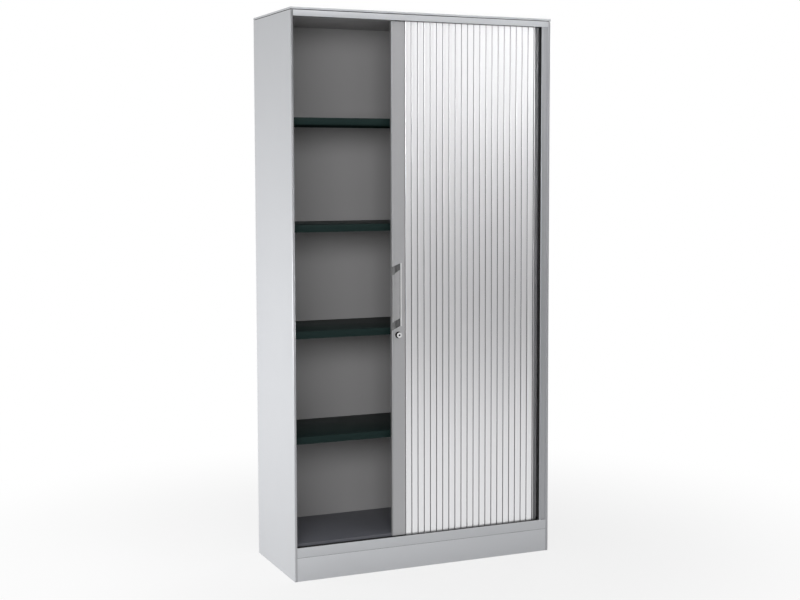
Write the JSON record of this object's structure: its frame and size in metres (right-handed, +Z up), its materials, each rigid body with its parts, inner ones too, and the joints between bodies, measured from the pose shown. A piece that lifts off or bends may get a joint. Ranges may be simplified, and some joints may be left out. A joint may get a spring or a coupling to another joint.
{
  "type": "roller shutter cupboard",
  "caption": "Tall steel office cupboard on a plinth with a side-opening slatted shutter, recessed grip, cam lock and lift-off shelves.",
  "frame": {"origin": "on the floor, in the middle of the cupboard", "axes": "+X to the right seen from the front, +Y to the back, +Z up"},
  "size_m": [1, 0.42, 1.98],
  "materials": {
    "carcass_paint": "silver-grey powder coat, fine satin",
    "liner_paint": "light grey powder coat, satin",
    "shelf_paint": "dark green-black powder coat, satin",
    "deck_paint": "mid grey powder coat, satin",
    "slat_plastic": "silver lacquered plastic extrusion",
    "rail_aluminium": "matt grey anodised",
    "track_plastic": "black extruded plastic",
    "handle_plastic": "matt grey moulded plastic",
    "foot_plastic": "black moulded plastic",
    "lock_chrome": "polished chrome plate",
    "zinc_steel": "zinc plated",
    "black_rubber": "matt"
  },
  "bodies": {
    "cabinet": {"left_side_panel": "carcass_paint", "right_side_panel": "carcass_paint", "rear_panel": "carcass_paint", "top_panel": "carcass_paint", "top_front_rail": "carcass_paint", "bottom_front_rail": "carcass_paint", "plinth_front": "carcass_paint", "plinth_rear": "carcass_paint", "base_member_left": "carcass_paint", "base_member_right": "carcass_paint", "right_front_post": "carcass_paint", "floor_panel": "deck_paint", "ceiling_panel": "liner_paint", "inner_side_wall": "liner_paint", "inner_rear_wall": "liner_paint", "upper_track": "track_plastic", "lower_track": "track_plastic", "strike_plate": "zinc_steel", "closing_buffers": "black_rubber", "foot_nuts": "zinc_steel", "rear_panel_rivets": "zinc_steel", "lid_screws": "zinc_steel", "upright_front_left": "liner_paint", "upright_front_right": "liner_paint", "upright_rear_left": "liner_paint", "upright_rear_right": "liner_paint", "shelf_1": "shelf_paint", "shelf_clips_1": "zinc_steel", "shelf_2": "shelf_paint", "shelf_clips_2": "zinc_steel", "shelf_3": "shelf_paint", "shelf_clips_3": "zinc_steel", "shelf_4": "shelf_paint", "shelf_clips_4": "zinc_steel"},
    "shutter": {"lead_rail": "rail_aluminium", "lead_rail_glides": "track_plastic", "handle_recess": "handle_plastic", "handle_grip": "handle_plastic", "lock_barrel": "lock_chrome", "lock_ring_nut": "zinc_steel", "front_slats": "slat_plastic", "front_bend_slats": "slat_plastic", "side_slats": "slat_plastic", "rear_bend_slats": "slat_plastic", "rear_slats": "slat_plastic"},
    "lock": {"lock_plug": "lock_chrome", "lock_cam": "zinc_steel", "lock_cam_screw": "zinc_steel"},
    "foot_front_left": {"foot_front_left_pad": "foot_plastic", "foot_front_left_spindle": "zinc_steel"},
    "foot_front_right": {"foot_front_right_pad": "foot_plastic", "foot_front_right_spindle": "zinc_steel"},
    "foot_rear_left": {"foot_rear_left_pad": "foot_plastic", "foot_rear_left_spindle": "zinc_steel"},
    "foot_rear_right": {"foot_rear_right_pad": "foot_plastic", "foot_rear_right_spindle": "zinc_steel"}
  },
  "joints": [
    {"name": "shutter_slide", "type": "slide", "parent": "cabinet", "child": "shutter", "axis": [1, 0, 0], "range_m": [-0.362, 0.502], "deforming": ["front_slats", "front_bend_slats", "side_slats", "rear_bend_slats", "rear_slats"]},
    {"name": "lock_turn", "type": "hinge", "parent": "shutter", "child": "lock", "pos_m": [-0.103, -0.198, 0.8455], "axis": [0, 1, 0], "range_deg": [0, 90]},
    {"name": "foot_front_left_height", "type": "slide", "parent": "cabinet", "child": "foot_front_left", "axis": [0, 0, -1], "range_m": [0, 0.015]},
    {"name": "foot_front_right_height", "type": "slide", "parent": "cabinet", "child": "foot_front_right", "axis": [0, 0, -1], "range_m": [0, 0.015]},
    {"name": "foot_rear_left_height", "type": "slide", "parent": "cabinet", "child": "foot_rear_left", "axis": [0, 0, -1], "range_m": [0, 0.015]},
    {"name": "foot_rear_right_height", "type": "slide", "parent": "cabinet", "child": "foot_rear_right", "axis": [0, 0, -1], "range_m": [0, 0.015]}
  ]
}
